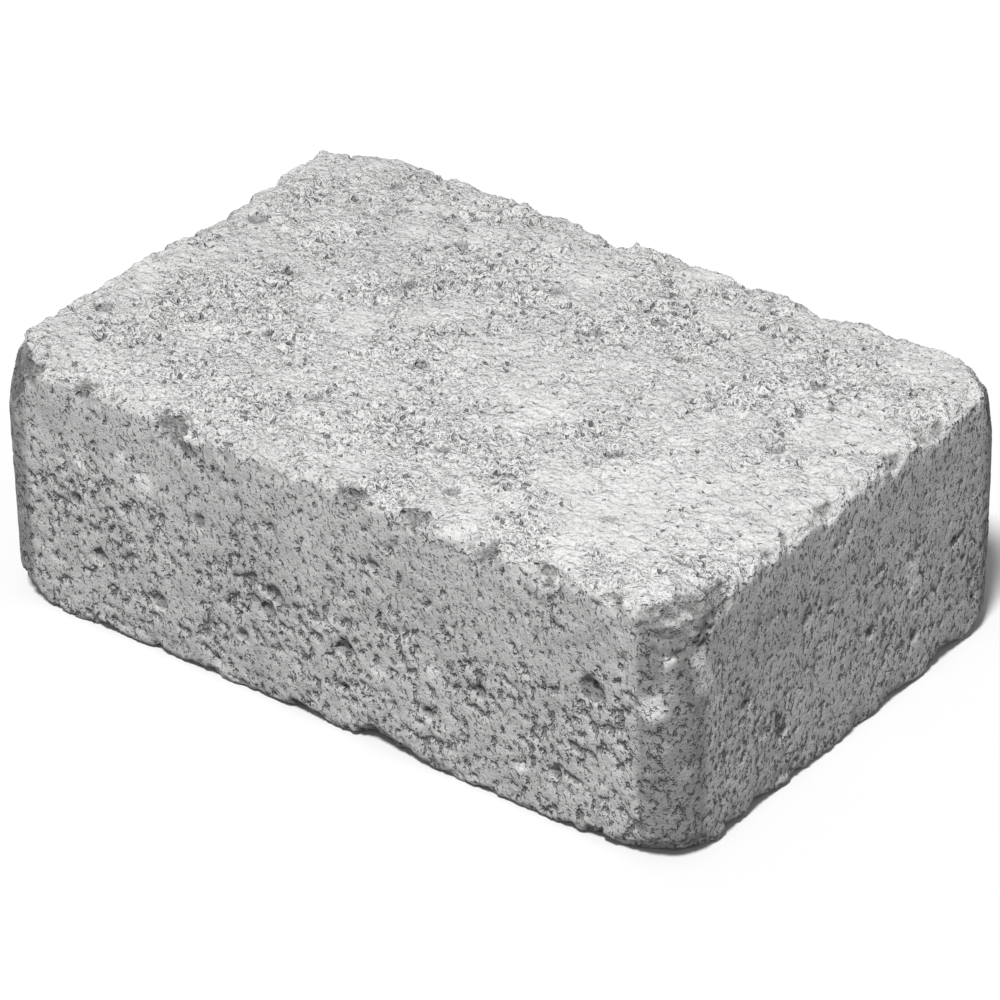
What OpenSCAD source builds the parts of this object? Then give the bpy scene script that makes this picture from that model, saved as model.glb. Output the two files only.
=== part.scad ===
// Tumbled concrete paving stone, one cast block.
// The block is pressed in a mould with rounded corners and then tumbled in a drum,
// which wears its arrises round, knocks its corners off, breaks spalls from its edges and
// opens pits where coarse grains have come out of its faces.
// X runs along the length, Y along the width, and the bed face lies on Z = 0.

/* [Block] */
// Length of the stone
stone_l = 210; // [140:1:300]
// Width of the stone
stone_w = 140; // [100:1:240]
// Thickness of the stone
stone_h = 70; // [50:1:120]

/* [Edges] */
// Plan radius of the four upright corners
corner_r = 12; // [9:0.5:20]
// Radius worn on the arrises of the top face
top_arris_r = 3; // [2:0.5:6]
// Radius worn on the arrises of the bed face
bed_arris_r = 2.5; // [2:0.5:6]

/* [Tumbling damage] */
// Usual length of a spall along its arris
spall_l = 9; // [6:0.5:12]
// Usual depth of a spall below the worn arris
spall_bite = 2; // [1:0.1:3]
// Usual depth of a knock on a corner
knock_bite = 2; // [1:0.1:3]
// Usual width of a pit in a face
pit_w = 6; // [4:0.5:8]
// Usual depth of a pit
pit_deep = 1.6; // [0.8:0.1:2.2]

/* [Hidden] */
$fn = 48;

// Sides are counted against the clock from the front: 0 front, 1 right, 2 back, 3 left.
side_count = 4;
quarter = 360 / side_count;
// Flat breaks round the full hollow that a spall is cut from
spall_breaks = 7;
// Ridges that cross in a pit: the turn of each, and how far its edge lies off the middle as
// a share of the width
pit_ridges = [[0, 0.35], [55, 0.2], [120, -0.1]];
// A cutter this wide reaches past any spall or knock
cutter_span = stone_h / 2;

function side_length(side) = side % 2 == 0 ? stone_l : stone_w;
function side_reach(side) = (side % 2 == 0 ? stone_w : stone_l) / 2;
function straight_run(side) = side_length(side) - 2 * corner_r;

// Radius of the round hollow that has this length and depth at the arris
function hollow_radius(length, bite) = (length * length / 4 + bite * bite) / (2 * bite);

// One list of spalls for each side of a face. A spall is its place along the straight
// run from left to right, its length and depth as multiples of the usual ones, its lean,
// where 0 opens it to the side and 90 opens it upwards, and its skew across the arris.
top_spalls = [
    [
        [0.04, 1.5, 0.9, 65, 20], [0.15, 1.2, 0.8, 55, -15], [0.27, 1.9, 1.5, 40, 30],
        [0.38, 1.0, 0.6, 50, -15], [0.47, 0.9, 0.5, 45, 20], [0.56, 1.2, 0.9, 55, -20],
        [0.65, 1.2, 1.2, 45, 25], [0.75, 1.0, 1.2, 45, 15], [0.86, 1.2, 1.3, 40, 25],
        [0.96, 1.0, 0.8, 35, -10]
    ],
    [
        [0.05, 1.2, 1.0, 40, 15], [0.13, 0.9, 0.6, 50, -15], [0.21, 1.0, 0.7, 45, -20],
        [0.31, 1.6, 1.0, 50, 25], [0.43, 1.5, 1.1, 45, -25], [0.56, 1.0, 0.5, 45, 20],
        [0.68, 1.5, 0.9, 35, 15], [0.83, 2.0, 1.5, 50, -30]
    ],
    [
        [0.12, 1.2, 0.9, 40, -20], [0.24, 2.4, 1.7, 50, 25], [0.36, 1.2, 0.8, 45, -15],
        [0.46, 1.0, 0.6, 40, 15], [0.59, 2.6, 1.8, 55, -20], [0.70, 1.2, 0.9, 45, 25],
        [0.77, 0.9, 0.4, 40, 15]
    ],
    [
        [0.17, 1.6, 1.2, 50, -20], [0.27, 1.4, 1.2, 40, 15], [0.37, 2.4, 1.6, 50, 25],
        [0.45, 1.6, 1.5, 45, -20], [0.56, 1.4, 0.9, 45, -15],
        [0.70, 0.8, 0.4, 40, 20]
    ]
];
bed_spalls = [
    [
        [0.04, 1.0, 0.6, 45, -15], [0.12, 1.2, 0.8, 40, 15], [0.22, 0.9, 0.6, 50, -20],
        [0.31, 1.0, 0.6, 45, -20], [0.39, 0.9, 0.5, 40, 15], [0.47, 1.8, 1.2, 45, 25],
        [0.58, 1.8, 1.9, 40, -20], [0.64, 2.2, 1.5, 45, 20], [0.77, 1.0, 0.6, 50, -15],
        [0.85, 0.9, 0.5, 45, 15], [0.95, 1.8, 1.3, 45, 25]
    ],
    [
        [0.09, 1.3, 1.0, 45, -20], [0.21, 1.1, 0.9, 45, 25], [0.56, 0.9, 0.4, 45, 20],
        [0.70, 1.5, 1.0, 40, -25], [0.90, 2.4, 1.6, 45, 15]
    ],
    [
        [0.05, 0.9, 0.5, 50, -15], [0.14, 1.5, 1.0, 45, 20], [0.26, 0.9, 0.5, 45, 15],
        [0.38, 1.9, 1.2, 40, -25], [0.51, 1.0, 0.6, 50, 20], [0.63, 1.2, 0.8, 50, 15],
        [0.74, 0.9, 0.5, 40, -15], [0.85, 1.6, 1.1, 45, -20], [0.95, 0.9, 0.5, 45, 15]
    ],
    [
        [0.06, 0.9, 0.5, 45, 20], [0.18, 1.3, 0.9, 50, -15], [0.32, 1.0, 0.6, 45, 15],
        [0.47, 1.8, 1.3, 40, 25], [0.62, 0.9, 0.5, 50, -20], [0.78, 1.4, 1.0, 45, -20],
        [0.91, 0.9, 0.5, 45, 15]
    ]
];

// One list of knocks for each corner, from the corner at the right end of the front and
// on against the clock. A knock is its depth as a multiple of the usual one, its turn
// towards the next side, and its lean, as for a spall.
top_knocks = [
    [[1.6, -4, 30], [1.0, 18, 48], [0.7, -24, 55]],
    [[1.6, 6, 40], [1.2, -14, 10]],
    [[1.4, -22, 50], [0.5, 14, 30]],
    [[2.3, 4, 20], [1.3, 16, 50]]
];
bed_knocks = [
    [[1.7, -14, 42], [1.4, 20, 35]],
    [[1.9, -8, 45], [0.9, 16, 20]],
    [[1.3, 0, 38], [0.6, 22, 50]],
    [[1.9, 8, 40], [1.0, -18, 30]]
];

// One list of pits for each side. A pit is its place from left to right along the straight
// run and its place up the side, both as shares, its width and depth as multiples of the
// usual ones, and its turn against the clock, where 0 puts the steep flank on the right
// and 90 puts it at the top.
side_pits = [
    [
        [0.08, 0.50, 0.9, 0.8, 60], [0.12, 0.30, 0.8, 0.9, 110], [0.22, 0.21, 0.9, 1.0, 85],
        [0.30, 0.62, 0.9, 0.7, 130], [0.36, 0.22, 0.8, 0.8, 40], [0.41, 0.36, 1.0, 1.2, 95],
        [0.42, 0.44, 1.0, 1.3, 75], [0.54, 0.34, 1.0, 1.3, 105], [0.59, 0.74, 0.7, 0.7, 150],
        [0.67, 0.22, 0.8, 0.8, 70], [0.75, 0.40, 0.9, 0.8, 20], [0.88, 0.20, 0.8, 0.9, 120],
        [0.93, 0.58, 1.3, 1.5, 80]
    ],
    [
        [0.13, 0.46, 0.8, 0.7, 70], [0.27, 0.23, 0.8, 0.9, 115], [0.34, 0.62, 0.8, 0.6, 30],
        [0.45, 0.82, 0.7, 0.6, 100], [0.58, 0.36, 0.8, 0.9, 55], [0.76, 0.20, 0.8, 0.8, 140],
        [0.90, 0.46, 0.8, 0.7, 85]
    ],
    [
        [0.07, 0.32, 0.9, 0.9, 100], [0.16, 0.60, 0.8, 0.7, 50], [0.26, 0.24, 1.0, 1.0, 125],
        [0.35, 0.48, 0.8, 0.8, 80], [0.46, 0.28, 1.2, 1.2, 65], [0.55, 0.66, 0.8, 0.7, 160],
        [0.63, 0.38, 0.9, 0.9, 95], [0.74, 0.20, 0.8, 0.8, 30], [0.82, 0.54, 1.0, 1.0, 110],
        [0.93, 0.30, 0.8, 0.8, 75]
    ],
    [
        [0.12, 0.26, 0.9, 0.9, 85], [0.24, 0.56, 0.8, 0.7, 120], [0.40, 0.36, 1.1, 1.1, 60],
        [0.53, 0.68, 0.8, 0.7, 145], [0.64, 0.24, 0.9, 0.9, 100], [0.80, 0.48, 0.8, 0.8, 40],
        [0.92, 0.24, 0.8, 0.8, 70]
    ]
];

// Pits of the top face: shares of the length and the width from the corner at the left end
// of the front, and then as for the sides, where 90 puts the steep flank at the back
top_pits = [
    [0.05, 0.65, 1.0, 1.4, 20], [0.04, 0.24, 0.9, 1.3, 345], [0.14, 0.90, 0.8, 0.9, 110],
    [0.17, 0.54, 0.8, 0.7, 235], [0.27, 0.88, 0.8, 1.0, 60], [0.29, 0.80, 0.9, 1.1, 325],
    [0.30, 0.62, 1.0, 0.8, 50], [0.25, 0.34, 0.9, 0.6, 185], [0.38, 0.22, 1.0, 0.8, 300],
    [0.45, 0.76, 0.9, 0.8, 15], [0.44, 0.41, 1.0, 0.8, 155], [0.55, 0.68, 0.8, 0.9, 30],
    [0.60, 0.79, 1.0, 0.9, 270], [0.57, 0.20, 0.9, 0.7, 45], [0.63, 0.11, 0.9, 0.8, 350],
    [0.67, 0.70, 0.8, 0.8, 200], [0.73, 0.37, 1.0, 0.8, 335], [0.81, 0.19, 0.8, 0.8, 75],
    [0.83, 0.77, 1.0, 0.9, 310], [0.87, 0.54, 1.0, 0.9, 25]
];

// Half section of an upright corner, with the arrises worn round
module corner_section() {
    square([corner_r - top_arris_r, stone_h]);
    square([corner_r - bed_arris_r, stone_h - top_arris_r]);
    translate([0, bed_arris_r]) square([corner_r, stone_h - top_arris_r - bed_arris_r]);
    intersection() {
        translate([corner_r - top_arris_r, stone_h - top_arris_r]) circle(top_arris_r);
        square([corner_r, stone_h]);
    }
    intersection() {
        translate([corner_r - bed_arris_r, bed_arris_r]) circle(bed_arris_r);
        square([corner_r, stone_h]);
    }
}

// Full section of the block across one pair of sides
module block_section(reach) {
    for (flip = [0, 1]) {
        mirror([flip, 0]) {
            square([reach - corner_r, stone_h]);
            translate([reach - corner_r, 0]) corner_section();
        }
    }
}

// The block as it leaves the mould, with its arrises already worn round
module worn_block() {
    for (x = [-1, 1], y = [-1, 1]) {
        translate([x * (stone_l / 2 - corner_r), y * (stone_w / 2 - corner_r), 0])
            rotate_extrude() corner_section();
    }
    for (side = [0, 1]) {
        rotate([90, 0, quarter * side + quarter])
            linear_extrude(straight_run(side), center = true) block_section(side_reach(side));
    }
}

// Turns children over when they belong to the bed face, and lifts them to the top if not
module on_face(bed) {
    translate([0, 0, bed ? 0 : stone_h]) mirror([0, 0, bed ? 1 : 0]) children();
}

// Cutter that breaks one spall out of an arris that runs along X through the origin
module spall(arris_r, length, bite, lean, skew) {
    hollow_r = hollow_radius(length, bite);
    translate([0, arris_r, -arris_r])
        rotate([-lean, 0, 0])
            translate([0, bite - hollow_r - arris_r, 0])
                rotate([0, skew, 0])
                    cylinder(h = cutter_span, r = hollow_r, center = true, $fn = spall_breaks);
}

// Cutters of all spalls on the arrises of one face
module face_spalls(spalls, arris_r, bed) {
    for (side = [0 : side_count - 1], s = spalls[side]) {
        rotate([0, 0, quarter * side])
            translate([(s[0] - 0.5) * straight_run(side), -side_reach(side), 0])
                on_face(bed) spall(arris_r, s[1] * spall_l, s[2] * spall_bite, s[3], s[4]);
    }
}

// Cutter that takes a flat knock off a corner whose upright axis is the Z axis
module knock(arris_r, bite, lean) {
    translate([corner_r - arris_r, 0, -arris_r])
        rotate([0, -lean, 0])
            translate([arris_r - bite + cutter_span / 2, 0, 0]) cube(cutter_span, center = true);
}

// Cutters of all knocks on the corners of one face
module face_knocks(knocks, arris_r, bed) {
    for (side = [0 : side_count - 1], k = knocks[side]) {
        rotate([0, 0, quarter * side])
            translate([side_length(side) / 2 - corner_r, corner_r - side_reach(side), 0])
                rotate([0, 0, k[1] - quarter / 2])
                    on_face(bed) knock(arris_r, k[0] * knock_bite, k[2]);
    }
}

// Ridge whose edge runs along Y at the depth of a pit, with flanks that reach the face at
// the width of the pit
module pit_ridge(width, deep, off) {
    rotate([90, 0, 0])
        linear_extrude(2 * width, center = true)
            polygon([[off * width, -deep], [width, deep], [-width, deep]]);
}

// Cutter of one pit in a face that lies in the XY plane and looks along Z. It is what the
// crossed ridges share, so that the pit has flat flanks of uneven slope.
module pit(width, deep, turn) {
    intersection_for(r = pit_ridges) {
        rotate([0, 0, turn + r[0]]) pit_ridge(width, deep, r[1]);
    }
}

// Cutters of all pits in the sides
module all_side_pits() {
    for (side = [0 : side_count - 1], p = side_pits[side]) {
        rotate([0, 0, quarter * side])
            translate([(p[0] - 0.5) * straight_run(side), -side_reach(side), p[1] * stone_h])
                rotate([90, 0, 0]) pit(p[2] * pit_w, p[3] * pit_deep, p[4]);
    }
}

// Cutters of all pits in the top face
module all_top_pits() {
    for (p = top_pits) {
        translate([(p[0] - 0.5) * stone_l, (p[1] - 0.5) * stone_w, stone_h])
            pit(p[2] * pit_w, p[3] * pit_deep, p[4]);
    }
}

// The paving stone with all its damage
module paving_stone() {
    color("#b4b4b2")
        difference() {
            worn_block();
            face_spalls(top_spalls, top_arris_r, false);
            face_spalls(bed_spalls, bed_arris_r, true);
            face_knocks(top_knocks, top_arris_r, false);
            face_knocks(bed_knocks, bed_arris_r, true);
            all_side_pits();
            all_top_pits();
        }
}

paving_stone();
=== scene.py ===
"""Looks of a tumbled concrete paving stone: its broken skin, its concrete and a plain stage."""

import math

import bmesh
import bpy
import numpy as np
from mathutils import Matrix, Vector


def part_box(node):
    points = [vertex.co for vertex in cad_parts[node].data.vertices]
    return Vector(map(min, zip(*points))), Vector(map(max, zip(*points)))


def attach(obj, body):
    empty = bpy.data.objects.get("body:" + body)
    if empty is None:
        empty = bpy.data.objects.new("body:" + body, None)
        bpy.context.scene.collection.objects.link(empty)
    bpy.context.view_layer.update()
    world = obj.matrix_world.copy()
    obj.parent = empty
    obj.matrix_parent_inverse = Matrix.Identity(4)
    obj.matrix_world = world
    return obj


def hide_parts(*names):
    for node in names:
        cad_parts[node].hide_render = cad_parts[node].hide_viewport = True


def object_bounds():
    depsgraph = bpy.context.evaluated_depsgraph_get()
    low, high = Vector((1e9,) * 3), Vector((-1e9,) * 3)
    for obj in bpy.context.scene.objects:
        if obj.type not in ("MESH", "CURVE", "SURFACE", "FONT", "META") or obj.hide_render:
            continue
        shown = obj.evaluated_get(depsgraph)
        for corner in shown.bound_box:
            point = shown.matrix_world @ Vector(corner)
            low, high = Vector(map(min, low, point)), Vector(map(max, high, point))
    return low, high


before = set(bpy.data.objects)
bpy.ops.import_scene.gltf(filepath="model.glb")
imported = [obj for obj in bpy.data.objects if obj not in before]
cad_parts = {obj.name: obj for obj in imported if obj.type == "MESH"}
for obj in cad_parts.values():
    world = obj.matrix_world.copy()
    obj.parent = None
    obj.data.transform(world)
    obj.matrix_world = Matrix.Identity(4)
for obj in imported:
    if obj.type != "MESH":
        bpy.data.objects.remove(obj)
cad_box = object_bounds()

bl_info = {
    "name": "Tumbled Paving Stone",
    "version": (1, 0, 0),
    "blender": (4, 5, 0),
    "location": "View3D > Sidebar > Paving",
    "description": "Dresses a paving block as worn, porous concrete and sets a plain stage",
    "category": "Object",
}

STONE_NODE = "paving_stone"
STONE_BODY = "root"
BAKE_MAP = "OFBake"
MILLIMETRE = 0.001
PER_METRE = 1000.0
WELD_DISTANCE = 1e-6
MAP_GAP = 2.0            # millimetres between the islands of the UV map
CAMERA_CLIP = 0.01
SPECULAR_LEVEL = 0.3
WHITE = (1.0, 1.0, 1.0, 1.0)

# Names of the mesh attributes that carry the stone's zones to its relief and its material
CAST_POINT = "cast_point"
UPWARD = "upward"
END_FACE = "end_face"
TOP_ZONE = "top_zone"
ARRIS_ZONE = "arris_zone"
CORNER_ZONE = "corner_zone"
BREAK_ZONE = "break_zone"
CRUMBLE_ZONE = "crumble_zone"
PASTE_ZONE = "paste_zone"
HOLE_ZONE = "hole_zone"
PALE_ZONE = "pale_zone"
TONE = "tone"
CORNER_SHADE = "corner_shade"
HOLLOW = "hollow"
PIT_LEVEL = "pit_level"
PORE_LEVEL = "pore_level"

# Places on the stone in millimetres from the middle of its bed: x, y, z and radius
CRUMBLED_PLACES = (
    (-75, 42, 70, 17), (-45, 20, 70, 14), (-72, -12, 70, 16), (-24, -20, 70, 15),
    (-22, 36, 70, 13), (18, 42, 70, 15), (66, 40, 70, 15), (48, -16, 70, 11), (12, -44, 70, 14),
    (-56, -52, 70, 12), (-28, -50, 70, 11), (80, 6, 70, 9), (35, 22, 70, 10), (-50, -38, 70, 10),
)
PASTE_PLACES = (
    (66, -38, 70, 20), (90, -20, 70, 14), (88, 22, 70, 12), (-54, 42, 70, 5), (-59, 52, 70, 4),
    (15, 63, 70, 5), (-37, -5, 70, 5), (24, -12, 70, 7), (-98, -20, 70, 7), (32, 48, 70, 4),
)
PALE_PLACES = (
    (97, -69, 43, 3.4), (100, -67, 57, 1.6), (105, -59, 49, 3.0), (105, -61, 55, 2.6),
    (105, -54, 41, 2.2), (105, 27, 35, 2.8), (105, 28, 30, 2.4), (34, -70, 29, 2.0),
    (3, -70, 31, 2.2), (-76, -70, 48, 2.2), (-62, -70, 53, 2.0), (-55, -70, 49, 3.0),
    (60, -70, 12, 1.8), (17, -70, 22, 1.6),
)
BREAK_PLACES = (
    (-92, -68, 68, 4.0), (-74, -69, 69.5, 3.2), (-46, -69, 67.5, 5.0), (-41, -70, 64, 2.6),
    (9, -69, 69, 3.6), (27, -69, 69.5, 4.0), (49, -69, 69, 3.8), (67, -69, 69.5, 3.2),
    (86, -69, 69, 2.2), (104, -60, 68, 6.5), (104.5, -53, 68.5, 4.5), (102, -67, 65.5, 6.0),
    (97, -69.5, 66, 4.0), (104, -33, 69.5, 2.4), (104, -24, 69.5, 2.2), (104, -10, 69, 2.6),
    (104, 19, 69.5, 2.4),
)

# Layers of soft noise: millimetres across a lump, finer layers on it, and how strong those are
LONG_WAVES = (30.0, 2.0, 0.5)
ARRIS_WEAR = (6.0, 4.0, 0.62)
TOP_RIM = (4.0, 3.0, 0.5)
TOP_LUMPS = (3.6, 3.0, 0.6)
TOP_HOLLOWS = (5.0, 3.0, 0.65)
TOP_PITS = (1.9, 2.5, 0.6)
TOP_GRIT = (2.6, 1.0, 0.6)
SAND = (1.05, 1.0, 0.6)
PASTE_PATCHES = (9.0, 4.0, 0.6)
CRUMBLE_PATCHES = (16.0, 3.0, 0.6)
SIDE_LUMPS = (3.2, 2.0, 0.55)
SIDE_HOLLOWS = (5.0, 3.0, 0.6)
HOLLOW_PATCHES = (26.0, 1.0, 0.5)
PORES = (1.65, 2.5, 0.55)
PORE_PATCHES = (15.0, 2.0, 0.5)
PINHOLES = (0.9, 1.5, 0.55)
FIBRES = (0.75, 1.0, 0.6)
SIDE_GRIT = (0.9, 1.0, 0.6)
CORNER_SHADE_PATCHES = (7.0, 4.0, 0.6)
BREAK_RIM = (3.2, 3.0, 0.6)
BREAK_FACES = (3.0, 4.0, 0.6)
HOLE_RIM = (2.2, 3.0, 0.6)
HOLE_FLOORS = (2.2, 3.0, 0.65)
PALE_RIM = (1.6, 3.0, 0.6)
TONE_PATCHES = (9.0, 4.0, 0.65)
TONE_DRIFT = (34.0, 2.0, 0.5)
SPECKS = (0.5, 1.0, 0.6)

# Drag marks of the sides: lean along the length, and share of the height at which noise is read.
# A smaller share draws the noise out further upright
DRAG_LEAN = 0.07
HOLLOW_DRAG = 0.8
PORE_DRAG = 0.75
PINHOLE_DRAG = 0.6
FIBRE_DRAG = 0.16

# Heights and depths of the relief in the mesh, in millimetres
WAVE_SWING = 0.9
ARRIS_WAVE_SWING = 1.6
ARRIS_WEAR_DEPTH = 1.6
LUMP_SWING = 1.3
CRUMBLED_LUMP_SWING = 4.0
PIT_DEPTH = 0.7
TOP_HOLLOW_DEPTH = 0.9
SIDE_LUMP_SWING = 0.9
SIDE_HOLLOW_DEPTH = 1.3
PORE_DEPTH = 0.8
BREAK_SWING = 2.4
BREAK_DEPTH = 0.8
HOLE_LIFT = 1.2
HOLE_SWING = 3.2

# Heights and depths of the finer relief in the material, in millimetres
FINE_PORE_DEPTH = 1.4
PINHOLE_DEPTH = 0.7
SIDE_GRIT_SWING = 0.2
FINE_PIT_DEPTH = 1.0
TOP_GRIT_SWING = 2.1
SPECK_SWING = 0.15

# How strongly each kind of mark darkens or colours the concrete, from 0 to 1. Each is painted
# shade: in the pores, pits, pinholes and sand gaps, in the hollows along with their dirt, and on
# the rounded upright corners
SIDE_PAINTED_SHADE = 0.62
TOP_PAINTED_SHADE = 0.78
PINHOLE_PAINTED_SHADE = 0.8
HOLLOW_SHADE_AND_DIRT = 0.3
SAND_GAP_PAINTED_SHADE = 0.75
CORNER_SHADE_AMOUNT = 0.7


class StoneShape(bpy.types.PropertyGroup):
    """Sizes of the stone's worn surface."""

    mesh_step: bpy.props.FloatProperty(
        name="Mesh step", description="Spacing of the mesh before it is thinned",
        default=0.8 * MILLIMETRE, min=0.0004, max=0.004, unit="LENGTH")
    triangles: bpy.props.IntProperty(
        name="Triangles", description="Most triangles that the finished stone may have",
        default=196000, min=20000, max=199000)
    corner_radius: bpy.props.FloatProperty(
        name="Corner radius", description="Plan radius of the block's upright corners",
        default=12 * MILLIMETRE, unit="LENGTH")
    arris_radius: bpy.props.FloatProperty(
        name="Arris radius", description="Radius of the worn arrises between the spalls",
        default=3 * MILLIMETRE, unit="LENGTH")
    arris_width: bpy.props.FloatProperty(
        name="Arris width", description="Width of the worn strip beside each arris",
        default=9 * MILLIMETRE, unit="LENGTH")


class ConcreteFinish(bpy.types.PropertyGroup):
    """Colours of the concrete."""

    paste: bpy.props.FloatVectorProperty(
        name="Paste", description="Cement paste of the sides",
        default=(0.46, 0.46, 0.456), size=3, subtype="COLOR", min=0, max=1)
    dust: bpy.props.FloatVectorProperty(
        name="Dust", description="Pale dust that mottles the sides",
        default=(0.64, 0.64, 0.635), size=3, subtype="COLOR", min=0, max=1)
    worn: bpy.props.FloatVectorProperty(
        name="Worn top", description="Darker mottle of the worn top",
        default=(0.54, 0.54, 0.536), size=3, subtype="COLOR", min=0, max=1)
    crest: bpy.props.FloatVectorProperty(
        name="Pale top", description="Paler mottle of the worn top",
        default=(0.71, 0.71, 0.705), size=3, subtype="COLOR", min=0, max=1)
    pore: bpy.props.FloatVectorProperty(
        name="Pore", description="Shaded bottoms of pores and pits",
        default=(0.10, 0.10, 0.10), size=3, subtype="COLOR", min=0, max=1)
    break_and_corner_shade: bpy.props.FloatVectorProperty(
        name="Break", description="Broken arrises and rubbed upright corners",
        default=(0.17, 0.17, 0.168), size=3, subtype="COLOR", min=0, max=1)
    pale: bpy.props.FloatVectorProperty(
        name="Pale aggregate", description="Pale bits of aggregate that show in the sides",
        default=(0.84, 0.84, 0.835), size=3, subtype="COLOR", min=0, max=1)
    roughness: bpy.props.FloatProperty(
        name="Roughness", description="Roughness of the dry concrete",
        default=0.92, min=0, max=1, subtype="FACTOR")


class StageSettings(bpy.types.PropertyGroup):
    """Camera, light and floor."""

    azimuth: bpy.props.FloatProperty(
        name="Azimuth",
        description="Turn of the camera from the stone's front towards its right end",
        default=math.radians(37.61), subtype="ANGLE")
    elevation: bpy.props.FloatProperty(
        name="Elevation", description="Height of the camera above the horizon",
        default=math.radians(31.62), subtype="ANGLE")
    roll: bpy.props.FloatProperty(
        name="Roll", description="Tilt of the camera about its own axis",
        default=math.radians(-0.65), subtype="ANGLE")
    distance: bpy.props.FloatProperty(
        name="Distance", description="From the camera to the point that it looks at",
        default=1.268, unit="LENGTH")
    target: bpy.props.FloatVectorProperty(
        name="Target", description="Point that the camera looks at",
        default=(0.0057, -0.0067, 0.035), size=3, subtype="XYZ", unit="LENGTH")
    lens: bpy.props.FloatProperty(
        name="Lens", description="Focal length on the default sensor, in millimetres",
        default=184.8)
    key_azimuth: bpy.props.FloatProperty(
        name="Key azimuth", description="Turn of the key light from the stone's front",
        default=math.radians(18.0), subtype="ANGLE")
    key_elevation: bpy.props.FloatProperty(
        name="Key elevation", description="Height of the key light above the horizon",
        default=math.radians(63.0), subtype="ANGLE")
    key_strength: bpy.props.FloatProperty(
        name="Key strength", description="Strength of the key light", default=3.5)
    key_softness: bpy.props.FloatProperty(
        name="Key softness", description="Angle that the key light spans",
        default=math.radians(10.0), subtype="ANGLE")
    sky_strength: bpy.props.FloatProperty(
        name="Sky strength", description="Strength of the light from all round", default=0.27)
    floor_size: bpy.props.FloatProperty(
        name="Floor size", description="Length of the floor's sides", default=30.0, unit="LENGTH")
    floor_colour: bpy.props.FloatVectorProperty(
        name="Floor", description="Floor as the camera sees it",
        default=(0.80, 0.80, 0.80), size=3, subtype="COLOR", min=0, max=1)
    floor_bounce: bpy.props.FloatVectorProperty(
        name="Floor bounce", description="Floor as the stone's sides see it",
        default=(0.26, 0.26, 0.26), size=3, subtype="COLOR", min=0, max=1)


class FieldBuilder:
    """Adds texture and maths nodes to a shader or geometry node tree. Lengths are millimetres."""

    def __init__(self, tree):
        self.tree = tree

    def node(self, kind, **settings):
        made = self.tree.nodes.new(kind)
        for name, value in settings.items():
            setattr(made, name, value)
        return made

    def feed(self, socket, value):
        """Links a socket, or sets a plain value."""
        if isinstance(value, bpy.types.NodeSocket):
            self.tree.links.new(value, socket)
        else:
            socket.default_value = value

    def math(self, operation, *values, clamp=False):
        made = self.node("ShaderNodeMath", operation=operation, use_clamp=clamp)
        for socket, value in zip(made.inputs, values):
            self.feed(socket, value)
        return made.outputs[0]

    def total(self, *terms):
        result = terms[0]
        for term in terms[1:]:
            result = self.math("ADD", result, term)
        return result

    def product(self, *terms):
        result = terms[0]
        for term in terms[1:]:
            result = self.math("MULTIPLY", result, term)
        return result

    def inverse(self, value):
        return self.math("SUBTRACT", 1.0, value)

    def shifted(self, start, value, share, clamp=False):
        """Start, moved by a share of the value."""
        return self.math("MULTIPLY_ADD", value, share, start, clamp=clamp)

    def parts(self, point):
        """A point's place along the length, the width and the height."""
        split = self.node("ShaderNodeSeparateXYZ")
        self.feed(split.inputs[0], point)
        return split.outputs

    def noise(self, point, layer):
        """One layer of soft noise, from 0 to 1."""
        size, detail, roughness = layer
        made = self.node("ShaderNodeTexNoise", noise_dimensions="3D")
        self.feed(made.inputs["Vector"], point)
        self.feed(made.inputs["Scale"], 1.0 / size)
        self.feed(made.inputs["Detail"], detail)
        self.feed(made.inputs["Roughness"], roughness)
        return made.outputs[0]

    def swell(self, point, layer):
        """One layer of soft noise about 0, most of it within 0.3."""
        return self.math("SUBTRACT", self.noise(point, layer), 0.5)

    def ramp(self, value, low, high, start=0.0, end=1.0):
        """Goes smoothly from start to end while the value goes from low to high."""
        made = self.node("ShaderNodeMapRange", interpolation_type="SMOOTHSTEP", clamp=True)
        self.feed(made.inputs["Value"], value)
        self.feed(made.inputs["From Min"], low)
        self.feed(made.inputs["From Max"], high)
        self.feed(made.inputs["To Min"], start)
        self.feed(made.inputs["To Max"], end)
        return made.outputs[0]

    def mixed(self, factor, first, second):
        """Blend of two colours."""
        made = self.node("ShaderNodeMix", data_type="RGBA")
        self.feed(made.inputs[0], factor)
        self.feed(made.inputs[6], first)
        self.feed(made.inputs[7], second)
        return made.outputs[2]


def dragged(build, point, share):
    """Point in a frame that leans a little along the length and draws noise out upright."""
    along, across, up = build.parts(point)
    joined = build.node("ShaderNodeCombineXYZ")
    build.feed(joined.inputs[0], build.shifted(along, up, DRAG_LEAN))
    build.feed(joined.inputs[1], across)
    build.feed(joined.inputs[2], build.product(up, share))
    return joined.outputs[0]


def height_share(build, point, low, high):
    """Share of the way up from one height to another, in millimetres above the bed."""
    return build.ramp(build.parts(point)[2], low, high)


def ragged(build, point, value, rim, amount):
    """Turns a soft spot value into a mask with a ragged rim."""
    torn = build.shifted(value, build.swell(point, rim), amount)
    return build.ramp(torn, 0.35, 0.70)


def pasted(build, point, spot):
    """Patches where the top keeps its pale, smooth paste: mask from 0 to 1."""
    torn = build.shifted(spot, build.swell(point, PASTE_PATCHES), 2.2)
    return build.ramp(torn, 0.15, 0.80)


def crumbled(build, point, spot, paste):
    """How far the top's paste has crumbled out from between the grains: 0 to 1."""
    drift = build.shifted(0.35, build.swell(point, CRUMBLE_PATCHES), 2.6)
    more = build.shifted(drift, spot, 0.45)
    return build.shifted(more, paste, -0.40, clamp=True)


def crust_hollows(build, point, crumble):
    """Hollows in the crumbled parts of the top, a few millimetres wide: mask from 0 to 1."""
    level = build.shifted(0.40, crumble, 0.09)
    sunk = build.math("SUBTRACT", level, build.noise(point, TOP_HOLLOWS))
    return build.ramp(sunk, -0.02, 0.12)


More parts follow.
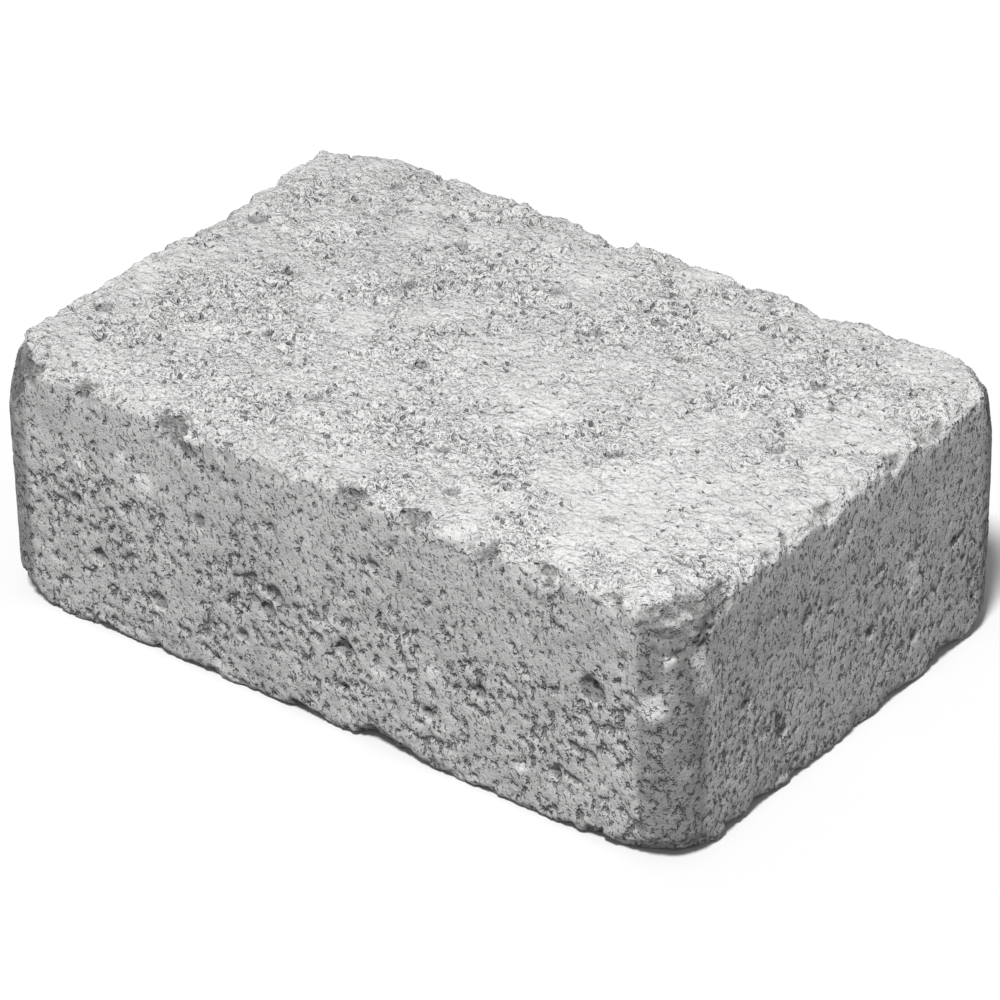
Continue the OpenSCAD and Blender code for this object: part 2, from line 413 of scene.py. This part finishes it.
def pit_level(build, hollows, crumble):
    """Level above which the fine swell of the top breaks into pits."""
    level = build.shifted(0.645, crumble, -0.075)
    return build.shifted(level, hollows, -0.05)


def top_pits(build, point, level):
    """Ragged pits between the sand grains of the top: mask from 0 to 1."""
    rise = build.math("SUBTRACT", build.noise(point, TOP_PITS), level)
    return build.ramp(rise, 0.0, 0.11)


def side_hollows(build, point):
    """Rough hollows of the sides, a few millimetres wide: mask from 0 to 1."""
    swell = build.noise(dragged(build, point, HOLLOW_DRAG), SIDE_HOLLOWS)
    level = build.shifted(0.76, build.noise(point, HOLLOW_PATCHES), -0.25)
    return build.ramp(build.math("SUBTRACT", swell, level), -0.02, 0.10)


def pore_level(build, point, corner, end):
    """Level above which the fine swell of a side breaks into pores.

    It is lower towards the bed and the corners, and higher on the ends."""
    level = build.shifted(0.665, build.noise(point, PORE_PATCHES), -0.24)
    level = build.shifted(level, height_share(build, point, 32.0, 62.0), 0.06)
    return build.total(level, build.product(corner, -0.015), build.product(end, 0.02))


def pore_rise(build, point, level):
    """How far the fine swell of a side is over its level: a pore where it is over 0."""
    swell = build.noise(dragged(build, point, PORE_DRAG), PORES)
    return build.math("SUBTRACT", swell, level)


def side_pinholes(build, point):
    """Pinholes and fine tears between the pores: mask from 0 to 1."""
    swell = build.noise(dragged(build, point, PINHOLE_DRAG), PINHOLES)
    return build.ramp(swell, 0.575, 0.70)


def side_fibres(build, point):
    """Fine upright drag marks, strongest near the top: value about 0."""
    marks = build.swell(dragged(build, point, FIBRE_DRAG), FIBRES)
    strength = build.shifted(0.35, height_share(build, point, 30.0, 62.0), 0.8)
    return build.product(marks, strength)


def smoothstep(low, high, value):
    share = np.clip((value - low) / (high - low), 0.0, 1.0)
    return share * share * (3.0 - 2.0 * share)


def undamaged_block(points, low, high, shape):
    """Depth of points below the undamaged block, below its sides, and below its top or bed."""
    centre = (low + high) / 2
    half = (high - low) / 2
    away = np.abs(points - centre)
    corner = away[:, :2] - (half[:2] - shape.corner_radius)
    outside = np.linalg.norm(np.maximum(corner, 0.0), axis=1)
    beyond_sides = outside + np.minimum(corner.max(axis=1), 0.0) - shape.corner_radius
    beyond_faces = away[:, 2] - half[2]
    section = np.stack([beyond_sides, beyond_faces], axis=1) + shape.arris_radius
    rounded = np.linalg.norm(np.maximum(section, 0.0), axis=1)
    beyond = rounded + np.minimum(section.max(axis=1), 0.0) - shape.arris_radius
    return -beyond, -beyond_sides, -beyond_faces


def remeshed_block(shape):
    """Closed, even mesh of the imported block, as a new object."""
    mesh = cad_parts[STONE_NODE].data.copy()
    mesh.materials.clear()
    joined = bmesh.new()
    joined.from_mesh(mesh)
    bmesh.ops.remove_doubles(joined, verts=joined.verts, dist=WELD_DISTANCE)
    joined.to_mesh(mesh)
    joined.free()
    stone = bpy.data.objects.new("worn_paving_stone", mesh)
    bpy.context.scene.collection.objects.link(stone)
    remesh = stone.modifiers.new("Even mesh", "REMESH")
    remesh.mode = "VOXEL"
    remesh.voxel_size = shape.mesh_step
    bake_modifiers(stone)
    return stone


def bake_modifiers(piece):
    """Turns a piece's modifiers into its own mesh."""
    evaluated = piece.evaluated_get(bpy.context.evaluated_depsgraph_get())
    mesh = bpy.data.meshes.new_from_object(evaluated)
    old = piece.data
    piece.modifiers.clear()
    piece.data = mesh
    bpy.data.meshes.remove(old)


def vertex_array(mesh, name):
    """Vectors of a mesh's vertices, such as places or normals, one in each row."""
    values = np.empty(len(mesh.vertices) * 3, dtype=np.float32)
    mesh.vertices.foreach_get(name, values)
    return values.reshape(-1, 3).astype(float)


def store(mesh, name, values):
    """Writes one number or one vector for each vertex to a new attribute."""
    kind, field = ("FLOAT_VECTOR", "vector") if values.ndim == 2 else ("FLOAT", "value")
    layer = mesh.attributes.new(name, kind, "POINT")
    layer.data.foreach_set(field, values.astype(np.float32).ravel())


def spots(points, places):
    """Soft spots about the places: 1 in the middle, a half at the radius, 0 at twice the radius."""
    value = np.zeros(len(points))
    for x, y, z, radius in places:
        away = np.linalg.norm(points * PER_METRE - (x, y, z), axis=1)
        value = np.maximum(value, 1.0 - 0.5 * away / radius)
    return value


def mark_zones(stone, shape):
    """Writes the stone's zones to its mesh: faces, arrises, breaks and listed places."""
    mesh = stone.data
    points = vertex_array(mesh, "co")
    normals = vertex_array(mesh, "normal")
    low, high = (np.array(corner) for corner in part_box(STONE_NODE))
    depth, side_depth, face_depth = undamaged_block(points, low, high, shape)
    from_arris = np.maximum(side_depth, face_depth)
    away = np.abs(points - (low + high) / 2)[:, :2]
    inset = away - ((high - low) / 2)[:2] + shape.corner_radius
    sunk = smoothstep(0.2 * MILLIMETRE, 1.4 * MILLIMETRE, depth)
    pitted = smoothstep(0.1 * MILLIMETRE, 0.7 * MILLIMETRE, depth)
    inner = smoothstep(5 * MILLIMETRE, 7 * MILLIMETRE, from_arris)
    rounded = smoothstep(-0.5 * MILLIMETRE, 1.5 * MILLIMETRE, inset.min(axis=1))
    store(mesh, CAST_POINT, points * PER_METRE)
    store(mesh, UPWARD, normals[:, 2])
    store(mesh, END_FACE, smoothstep(0.4, 0.9, np.abs(normals[:, 0])))
    store(mesh, ARRIS_ZONE, 1.0 - smoothstep(0.0, shape.arris_width, from_arris))
    store(mesh, CORNER_ZONE, rounded)
    store(mesh, BREAK_ZONE, np.maximum(0.5 * sunk * (1.0 - inner), spots(points, BREAK_PLACES)))
    store(mesh, HOLE_ZONE, pitted * inner)
    store(mesh, CRUMBLE_ZONE, smoothstep(0.1, 0.8, spots(points, CRUMBLED_PLACES)))
    store(mesh, PASTE_ZONE, spots(points, PASTE_PLACES))
    store(mesh, PALE_ZONE, spots(points, PALE_PLACES))


def worn_heights(build, point, arris):
    """Long waves of the faces, and wear along the arrises."""
    swing = build.shifted(WAVE_SWING, arris, ARRIS_WAVE_SWING)
    wear = build.ramp(build.noise(point, ARRIS_WEAR), 0.42, 0.75)
    return (
        build.product(build.swell(point, LONG_WAVES), swing),
        build.product(wear, arris, -ARRIS_WEAR_DEPTH),
    )


def top_heights(build, point, top, crumble, hollows, level):
    """Sandy lumps, pits and hollows of the top."""
    swing = build.shifted(LUMP_SWING, crumble, CRUMBLED_LUMP_SWING)
    return (
        build.product(build.swell(point, TOP_LUMPS), swing, top),
        build.product(top_pits(build, point, level), top, -PIT_DEPTH),
        build.product(hollows, top, -TOP_HOLLOW_DEPTH),
    )


def side_heights(build, point, skin, hollows, level):
    """Lumps, hollows and pores of the sides."""
    lumps = build.swell(dragged(build, point, PORE_DRAG), SIDE_LUMPS)
    pores = build.ramp(pore_rise(build, point, level), 0.0, 0.11)
    return (
        build.product(lumps, skin, SIDE_LUMP_SWING),
        build.product(hollows, skin, -SIDE_HOLLOW_DEPTH),
        build.product(pores, skin, -PORE_DEPTH),
    )


def damage_heights(build, point, broken, hole):
    """Rough, sunk faces of the breaks, and floors of the holes."""
    floor = build.shifted(HOLE_LIFT, build.noise(point, HOLE_FLOORS), -HOLE_SWING)
    return (
        build.product(build.swell(point, BREAK_FACES), broken, BREAK_SWING),
        build.product(broken, -BREAK_DEPTH),
        build.product(hole, floor),
    )


def relief_tree():
    """Geometry nodes that push the mesh along its normals into broken concrete."""
    tree = bpy.data.node_groups.new("Concrete relief", "GeometryNodeTree")
    for direction in ("INPUT", "OUTPUT"):
        tree.interface.new_socket("Geometry", in_out=direction, socket_type="NodeSocketGeometry")
    build = FieldBuilder(tree)

    def zone(name, kind="FLOAT"):
        made = build.node("GeometryNodeInputNamedAttribute", data_type=kind)
        made.inputs["Name"].default_value = name
        return made.outputs["Attribute"]

    point = zone(CAST_POINT, "FLOAT_VECTOR")
    upward, arris, corner, end = map(zone, (UPWARD, ARRIS_ZONE, CORNER_ZONE, END_FACE))
    top = build.ramp(build.shifted(upward, build.swell(point, TOP_RIM), 1.4), 0.30, 0.85)
    bed = build.ramp(upward, -0.35, -0.85)
    sides = build.math("SUBTRACT", build.inverse(top), bed, clamp=True)
    broken = ragged(build, point, zone(BREAK_ZONE), BREAK_RIM, 1.9)
    hole = ragged(build, point, zone(HOLE_ZONE), HOLE_RIM, 1.4)
    pale = ragged(build, point, zone(PALE_ZONE), PALE_RIM, 0.8)
    paste = pasted(build, point, zone(PASTE_ZONE))
    crumble = crumbled(build, point, zone(CRUMBLE_ZONE), paste)
    top_hollow = crust_hollows(build, point, crumble)
    top_level = pit_level(build, top_hollow, crumble)
    side_hollow = side_hollows(build, point)
    side_level = pore_level(build, point, corner, end)
    # Painted shade on the rounded upright corners of the sides, in ragged patches; the material
    # lays it on
    shaded = build.ramp(build.noise(point, CORNER_SHADE_PATCHES), 0.27, 0.50)
    corner_shade = build.product(corner, sides, shaded)
    corner_calm = build.inverse(build.product(corner, 0.3))
    end_calm = build.inverse(build.product(end, 0.5))
    skin = build.product(sides, corner_calm, end_calm)

    # The tone wanders over the stone, and the top is paler towards its front right corner
    along, across, _ = build.parts(point)
    side_on = build.product(build.math("SUBTRACT", along, across), top)
    tone = build.total(
        build.noise(point, TONE_PATCHES),
        build.product(build.swell(point, TONE_DRIFT), 0.5),
        build.product(side_on, 0.0008),
    )

    height = build.total(
        *worn_heights(build, point, arris),
        *top_heights(build, point, top, crumble, top_hollow, top_level),
        *side_heights(build, point, skin, side_hollow, side_level),
        *damage_heights(build, point, broken, hole),
    )
    normal = build.node("GeometryNodeInputNormal")
    offset = build.node("ShaderNodeVectorMath", operation="SCALE")
    build.feed(offset.inputs[0], normal.outputs[0])
    build.feed(offset.inputs["Scale"], build.product(height, MILLIMETRE))

    # A kept zone takes the place of the one read above, so this order is part of the look
    carried = build.node("NodeGroupInput").outputs[0]
    for name, value in (
        (TOP_ZONE, top), (BREAK_ZONE, broken), (HOLE_ZONE, hole), (PASTE_ZONE, paste),
        (CORNER_SHADE, corner_shade), (PALE_ZONE, pale), (TONE, tone), (HOLLOW, side_hollow),
        (CRUMBLE_ZONE, crumble), (PIT_LEVEL, top_level), (PORE_LEVEL, side_level),
    ):
        kept = build.node("GeometryNodeStoreNamedAttribute", data_type="FLOAT", domain="POINT")
        kept.inputs["Name"].default_value = name
        build.feed(kept.inputs["Value"], value)
        build.feed(kept.inputs["Geometry"], carried)
        carried = kept.outputs[0]
    moved = build.node("GeometryNodeSetPosition")
    build.feed(moved.inputs["Geometry"], carried)
    build.feed(moved.inputs["Offset"], offset.outputs[0])
    build.feed(build.node("NodeGroupOutput").inputs[0], moved.outputs[0])
    return tree


def thin_out(stone, most):
    """Joins the mesh's flattest faces until it has at most this many triangles."""
    triangles = sum(len(face.vertices) - 2 for face in stone.data.polygons)
    if triangles <= most:
        return
    thin = stone.modifiers.new("Thin out", "DECIMATE")
    thin.ratio = most / triangles
    bake_modifiers(stone)


def keep_on_bed(stone):
    """Holds the stone's lowest points on the floor."""
    points = vertex_array(stone.data, "co")
    points[:, 2] = np.maximum(points[:, 2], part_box(STONE_NODE)[0].z)
    stone.data.vertices.foreach_set("co", points.astype(np.float32).ravel())
    stone.data.update()


def node_group(name, inputs, recipe):
    """Shader node group that takes a point and zone values, and puts out a share of painted shade
    and a height.
    """
    tree = bpy.data.node_groups.new(name, "ShaderNodeTree")
    tree.interface.new_socket("Point", in_out="INPUT", socket_type="NodeSocketVector")
    for value in inputs:
        tree.interface.new_socket(value, in_out="INPUT", socket_type="NodeSocketFloat")
    for output in ("Dark", "Height"):
        tree.interface.new_socket(output, in_out="OUTPUT", socket_type="NodeSocketFloat")
    build = FieldBuilder(tree)
    entry = build.node("NodeGroupInput").outputs
    leave = build.node("NodeGroupOutput")
    given = [entry[value] for value in inputs]
    for socket, value in zip(leave.inputs, recipe(build, entry["Point"], *given)):
        build.feed(socket, value)
    return tree


def skin_recipe(build, point, level, hollows, end):
    """Moulded skin of the sides: share of painted shade in its pores and pinholes, of painted shade
    and dirt in its hollows, and height in millimetres.
    """
    rise = pore_rise(build, point, level)
    pinholes = build.product(side_pinholes(build, point), build.shifted(0.65, end, 0.8))
    # Painted shade in the pores and pinholes, and painted shade with some dirt in the hollows
    pinhole_shade = build.product(pinholes, PINHOLE_PAINTED_SHADE)
    dark = build.math("MAXIMUM", build.ramp(rise, 0.02, 0.11), pinhole_shade)
    dark = build.math("MAXIMUM", dark, build.product(hollows, HOLLOW_SHADE_AND_DIRT))
    height = build.total(
        build.product(build.ramp(rise, 0.0, 0.12), -FINE_PORE_DEPTH),
        build.product(pinholes, -PINHOLE_DEPTH),
        build.product(side_fibres(build, point), build.shifted(0.4, end, -0.25)),
        build.product(build.swell(point, SIDE_GRIT), SIDE_GRIT_SWING),
    )
    return dark, height


def crust_recipe(build, point, level, crumble, paste):
    """Worn crust of the top: share of painted shade in its pits and in the gaps between sand
    grains, and height in millimetres.
    """
    pits = top_pits(build, point, level)
    sand = build.noise(point, SAND)
    gaps, grains = build.ramp(sand, 0.56, 0.70), build.ramp(sand, 0.44, 0.30)
    calm = build.inverse(build.product(paste, 0.30))
    swing = build.product(build.shifted(0.26, crumble, 0.50), calm)
    # Painted shade in the gaps between the sand grains and in the pits
    dark = build.math("MAXIMUM", build.product(gaps, swing, SAND_GAP_PAINTED_SHADE), pits)
    height = build.total(
        build.product(pits, -FINE_PIT_DEPTH),
        build.product(build.math("SUBTRACT", grains, gaps), swing),
        build.product(build.swell(point, TOP_GRIT), TOP_GRIT_SWING),
    )
    return dark, height


def emptied_tree(owner):
    """Builder for the node tree of a new material or world, with nothing in it yet."""
    owner.use_nodes = True
    owner.node_tree.nodes.clear()
    return FieldBuilder(owner.node_tree)


def rgba(colour):
    return (*colour, 1.0)


def concrete_material(finish):
    """Worn concrete: porous skin on the sides, sandy crust on top, dark rough breaks, with painted
    shade in the pores, pits, hollows and holes and on the rounded upright corners.
    """
    material = bpy.data.materials.new("Tumbled concrete")
    build = emptied_tree(material)

    def zone(name, output="Fac"):
        made = build.node("ShaderNodeAttribute", attribute_type="GEOMETRY", attribute_name=name)
        return made.outputs[output]

    def group(tree, **values):
        made = build.node("ShaderNodeGroup", node_tree=tree)
        for name, value in values.items():
            build.feed(made.inputs[name], value)
        return made.outputs

    skin_group = node_group("Porous skin", ("Level", "Hollows", "End"), skin_recipe)
    crust_group = node_group("Sandy crust", ("Level", "Crumble", "Paste"), crust_recipe)
    point = zone(CAST_POINT, "Vector")
    top, broken, paste, pale, corner_shade = map(zone, (TOP_ZONE, BREAK_ZONE, PASTE_ZONE, PALE_ZONE, CORNER_SHADE))
    sides = build.inverse(top)
    whole = build.inverse(build.product(broken, 0.35))
    skin = group(skin_group, Point=point, Level=zone(PORE_LEVEL), Hollows=zone(HOLLOW),
                 End=zone(END_FACE))
    crust = group(crust_group, Point=point, Level=zone(PIT_LEVEL), Crumble=zone(CRUMBLE_ZONE),
                  Paste=paste)

    speck = build.noise(point, SPECKS)
    mottle = build.ramp(build.math("ADD", speck, zone(TONE)), 0.68, 1.30)
    side_colour = build.mixed(mottle, rgba(finish.paste), rgba(finish.dust))
    top_mottle = build.shifted(mottle, paste, 0.06, clamp=True)
    top_colour = build.mixed(top_mottle, rgba(finish.worn), rgba(finish.crest))
    base = build.mixed(top, side_colour, top_colour)
    # Painted shade on the rounded upright corners, in the break colour
    base = build.mixed(build.product(corner_shade, CORNER_SHADE_AMOUNT), base, rgba(finish.break_and_corner_shade))
    speckled_break = build.product(broken, build.ramp(speck, 0.25, 0.75, 1.0, 0.6))
    base = build.mixed(speckled_break, base, rgba(finish.break_and_corner_shade))
    base = build.mixed(pale, base, rgba(finish.pale))

    pale_clear = build.inverse(build.product(pale, 0.8))
    corner_shade_clear = build.inverse(build.product(corner_shade, 0.3))
    clear = build.product(pale_clear, corner_shade_clear)
    # Painted shade: the pore colour darkens the pores, pinholes, hollows, pits, sand gaps and
    # holes, where real shade falls in them
    painted_shade_sides = build.product(skin["Dark"], sides, whole, clear, SIDE_PAINTED_SHADE)
    painted_shade_top = build.product(crust["Dark"], top, whole, TOP_PAINTED_SHADE)
    painted_shade_holes = build.product(zone(HOLE_ZONE), build.ramp(speck, 0.30, 0.70, 0.35, 0.8))
    dark = build.math("MAXIMUM", build.total(painted_shade_sides, painted_shade_top), painted_shade_holes)
    base = build.mixed(dark, base, rgba(finish.pore))

    bump = build.node("ShaderNodeBump")
    bump.inputs["Strength"].default_value = 1.0
    bump.inputs["Distance"].default_value = MILLIMETRE
    build.feed(bump.inputs["Height"], build.total(
        build.product(skin["Height"], sides, whole),
        build.product(crust["Height"], top, whole),
        build.product(speck, SPECK_SWING),
    ))

    shader = build.node("ShaderNodeBsdfPrincipled")
    build.feed(shader.inputs["Base Color"], base)
    shader.inputs["Roughness"].default_value = finish.roughness
    shader.inputs["Specular IOR Level"].default_value = SPECULAR_LEVEL
    build.feed(shader.inputs["Normal"], bump.outputs["Normal"])
    leave = build.node("ShaderNodeOutputMaterial")
    build.feed(leave.inputs["Surface"], shader.outputs[0])
    return material


def lay_out_map(stone):
    """UV map with one flat island for each of the block's six faces."""
    mesh = stone.data
    low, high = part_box(STONE_NODE)
    length, width, height = (high - low) * PER_METRE
    gap = MAP_GAP
    sheet = length + width + 3 * gap
    # Axis and side of each face: the two axes that run along U and V, and the island's low corner
    islands = {
        (2, 1): (0, 1, gap, gap),
        (2, -1): (0, 1, gap, width + 2 * gap),
        (1, -1): (0, 2, gap, 2 * width + 3 * gap),
        (1, 1): (2, 0, length + 2 * gap, gap),
        (0, 1): (1, 2, length + 2 * gap, length + 2 * gap),
        (0, -1): (1, 2, length + 2 * gap, length + height + 3 * gap),
    }
    reach = np.array([length, width, height]) / 2
    centre = np.array((low + high) / 2) * PER_METRE
    points = vertex_array(mesh, "co") * PER_METRE - centre
    loops = np.empty(len(mesh.loops), dtype=np.int32)
    mesh.loops.foreach_get("vertex_index", loops)
    starts = np.empty(len(mesh.polygons), dtype=np.int32)
    mesh.polygons.foreach_get("loop_start", starts)
    totals = np.empty(len(mesh.polygons), dtype=np.int32)
    mesh.polygons.foreach_get("loop_total", totals)
    corners = points[loops]
    middles = np.add.reduceat(corners, starts, axis=0) / totals[:, None]
    axis = np.argmax(np.abs(middles) - reach, axis=1)
    sign = np.sign(middles[np.arange(len(axis)), axis]).astype(int)
    uv = np.zeros((len(loops), 2))
    for (face_axis, face_sign), (along, up, left, bottom) in islands.items():
        chosen = np.repeat((axis == face_axis) & (sign == face_sign), totals)
        uv[chosen, 0] = corners[chosen, along] + reach[along] + left
        uv[chosen, 1] = corners[chosen, up] + reach[up] + bottom
    layer = mesh.uv_layers.new(name=BAKE_MAP)
    layer.uv.foreach_set("vector", (uv / sheet).astype(np.float32).ravel())


class PAVING_OT_make_stone(bpy.types.Operator):
    """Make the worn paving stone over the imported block."""

    bl_idname = "paving.make_stone"
    bl_label = "Make Paving Stone"

    def execute(self, context):
        shape = context.scene.paving_shape
        stone = remeshed_block(shape)
        mark_zones(stone, shape)
        relief = stone.modifiers.new("Concrete relief", "NODES")
        relief.node_group = relief_tree()
        bake_modifiers(stone)
        thin_out(stone, shape.triangles)
        keep_on_bed(stone)
        lay_out_map(stone)
        stone.data.shade_smooth()
        stone.data.materials.append(concrete_material(context.scene.paving_finish))
        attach(stone, STONE_BODY)
        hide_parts(STONE_NODE)
        return {"FINISHED"}


def seen_or_lighting(build, seen, lighting):
    """Shader that looks one way, straight, mirrored or through glass, and lights another way."""
    path = build.node("ShaderNodeLightPath").outputs
    mirrored = build.math("MAXIMUM", path["Is Glossy Ray"], path["Is Transmission Ray"])
    chosen = build.node("ShaderNodeMixShader")
    build.feed(chosen.inputs[0], build.math("MAXIMUM", path["Is Camera Ray"], mirrored))
    build.feed(chosen.inputs[1], lighting.outputs[0])
    build.feed(chosen.inputs[2], seen.outputs[0])
    return chosen.outputs[0]


def floor_material(stage):
    """Pale floor that stays dim for the light that it throws back on the stone."""
    material = bpy.data.materials.new("Studio floor")
    build = emptied_tree(material)
    shown, bounced = build.node("ShaderNodeBsdfDiffuse"), build.node("ShaderNodeBsdfDiffuse")
    shown.inputs["Color"].default_value = rgba(stage.floor_colour)
    bounced.inputs["Color"].default_value = rgba(stage.floor_bounce)
    leave = build.node("ShaderNodeOutputMaterial")
    build.feed(leave.inputs["Surface"], seen_or_lighting(build, shown, bounced))
    return material


def studio_world(stage):
    """White to the camera, and a soft even sky to the stone."""
    world = bpy.data.worlds.new("Studio")
    build = emptied_tree(world)
    white, sky = build.node("ShaderNodeBackground"), build.node("ShaderNodeBackground")
    white.inputs["Color"].default_value = WHITE
    sky.inputs["Color"].default_value = WHITE
    sky.inputs["Strength"].default_value = stage.sky_strength
    leave = build.node("ShaderNodeOutputWorld")
    build.feed(leave.inputs["Surface"], seen_or_lighting(build, white, sky))
    return world


def towards(azimuth, elevation):
    """Unit vector from the stone to a point at this azimuth and elevation."""
    level = math.cos(elevation)
    return Vector((math.sin(azimuth) * level, -math.cos(azimuth) * level, math.sin(elevation)))


class PAVING_OT_make_stage(bpy.types.Operator):
    """Set the floor, the light and the camera."""

    bl_idname = "paving.make_stage"
    bl_label = "Make Stage"

    def execute(self, context):
        stage = context.scene.paving_stage
        self.make_floor(context.scene, stage)
        self.make_light(context.scene, stage)
        self.make_camera(context.scene, stage)
        context.scene.world = studio_world(stage)
        context.scene.view_settings.view_transform = "Standard"
        return {"FINISHED"}

    def make_floor(self, scene, stage):
        half = stage.floor_size / 2
        mesh = bpy.data.meshes.new("studio_floor")
        corners = [(-half, -half, 0.0), (half, -half, 0.0), (half, half, 0.0), (-half, half, 0.0)]
        mesh.from_pydata(corners, [], [(0, 1, 2, 3)])
        mesh.materials.append(floor_material(stage))
        floor = bpy.data.objects.new("studio_floor", mesh)
        floor.location.z = cad_box[0].z
        scene.collection.objects.link(floor)

    def make_light(self, scene, stage):
        lamp = bpy.data.lights.new("Key light", "SUN")
        lamp.energy = stage.key_strength
        lamp.angle = stage.key_softness
        key = bpy.data.objects.new("Key light", lamp)
        direction = towards(stage.key_azimuth, stage.key_elevation)
        key.rotation_euler = direction.to_track_quat("Z", "Y").to_euler()
        scene.collection.objects.link(key)

    def make_camera(self, scene, stage):
        lens = bpy.data.cameras.new("Camera")
        lens.lens = stage.lens
        lens.clip_start = CAMERA_CLIP
        camera = bpy.data.objects.new("Camera", lens)
        back = towards(stage.azimuth, stage.elevation)
        right = Vector((math.cos(stage.azimuth), math.sin(stage.azimuth), 0.0))
        up = back.cross(right)
        level = Matrix((right, up, back)).transposed()
        turn = level @ Matrix.Rotation(stage.roll, 3, "Z")
        place = Vector(stage.target) + back * stage.distance
        camera.matrix_world = Matrix.Translation(place) @ turn.to_4x4()
        scene.collection.objects.link(camera)
        scene.camera = camera


class PAVING_PT_sidebar(bpy.types.Panel):
    """Sidebar panel of the paving stone."""

    bl_label = "Paving Stone"
    bl_idname = "PAVING_PT_sidebar"
    bl_space_type = "VIEW_3D"
    bl_region_type = "UI"
    bl_category = "Paving"

    def draw(self, context):
        layout = self.layout
        for settings, operator in (
            (context.scene.paving_shape, PAVING_OT_make_stone.bl_idname),
            (context.scene.paving_finish, None),
            (context.scene.paving_stage, PAVING_OT_make_stage.bl_idname),
        ):
            column = layout.column()
            for name in settings.__annotations__:
                column.prop(settings, name)
            if operator:
                column.operator(operator)


CLASSES = (
    StoneShape,
    ConcreteFinish,
    StageSettings,
    PAVING_OT_make_stone,
    PAVING_OT_make_stage,
    PAVING_PT_sidebar,
)


def register():
    for made in CLASSES:
        bpy.utils.register_class(made)
    bpy.types.Scene.paving_shape = bpy.props.PointerProperty(type=StoneShape)
    bpy.types.Scene.paving_finish = bpy.props.PointerProperty(type=ConcreteFinish)
    bpy.types.Scene.paving_stage = bpy.props.PointerProperty(type=StageSettings)


def unregister():
    del bpy.types.Scene.paving_stage
    del bpy.types.Scene.paving_finish
    del bpy.types.Scene.paving_shape
    for made in reversed(CLASSES):
        bpy.utils.unregister_class(made)


def main():
    register()
    bpy.ops.paving.make_stone()
    bpy.ops.paving.make_stage()


if __name__ == "__main__":
    main()
